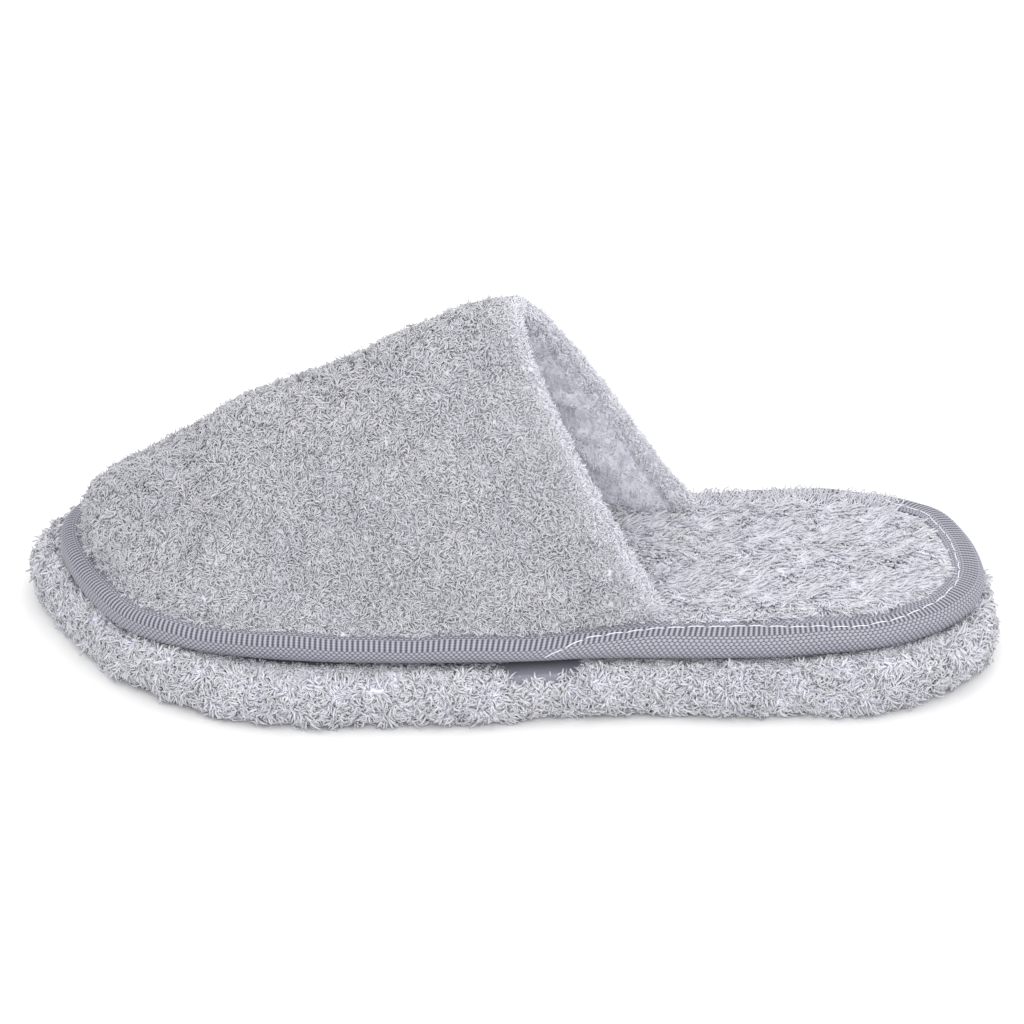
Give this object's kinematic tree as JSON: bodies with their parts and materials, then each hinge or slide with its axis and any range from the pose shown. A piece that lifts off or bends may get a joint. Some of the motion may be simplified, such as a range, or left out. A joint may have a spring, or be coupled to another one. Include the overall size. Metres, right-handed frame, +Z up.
{
  "type": "terry spa slipper",
  "caption": "Closed-toe backless terry slipper for the left foot: padded vamp, taped foot bed, fleece lining and a thick terry-covered sole pad.",
  "frame": {"origin": "on the ground under the middle of the sole pad's outline", "axes": "+X from toe to heel, +Y towards the inner side of the foot, +Z up"},
  "size_m": [0.296, 0.1262, 0.1129],
  "materials": {
    "sole_terry": "thick looped terry pile",
    "bed_terry": "long soft terry pile, brushed down",
    "vamp_terry": "short curly terry pile",
    "facing_terry": "short curly terry pile",
    "fleece_lining": "brushed fleece, soft nap",
    "woven_tape": "ribbed woven tape with a slight sheen",
    "thread": "white sewing thread",
    "plain_cloth": "smooth plain-woven cloth",
    "foam": "soft open-cell foam, hidden inside",
    "bond": "foam bonding layer",
    "stiff_board": "thin pressed stiffening board, hidden inside"
  },
  "bodies": {
    "root": {"sole_terry_cover": "sole_terry", "sole_foam": "foam", "sole_top_cloth": "plain_cloth", "bond_layer": "bond", "insole_board": "stiff_board", "insole_foam": "foam", "insole_terry": "bed_terry", "vamp_terry": "vamp_terry", "vamp_foam": "foam", "vamp_lining": "fleece_lining", "throat_facing": "facing_terry", "throat_stitch": "thread", "edge_binding": "woven_tape", "binding_stitch": "thread"}
  },
  "joints": []
}
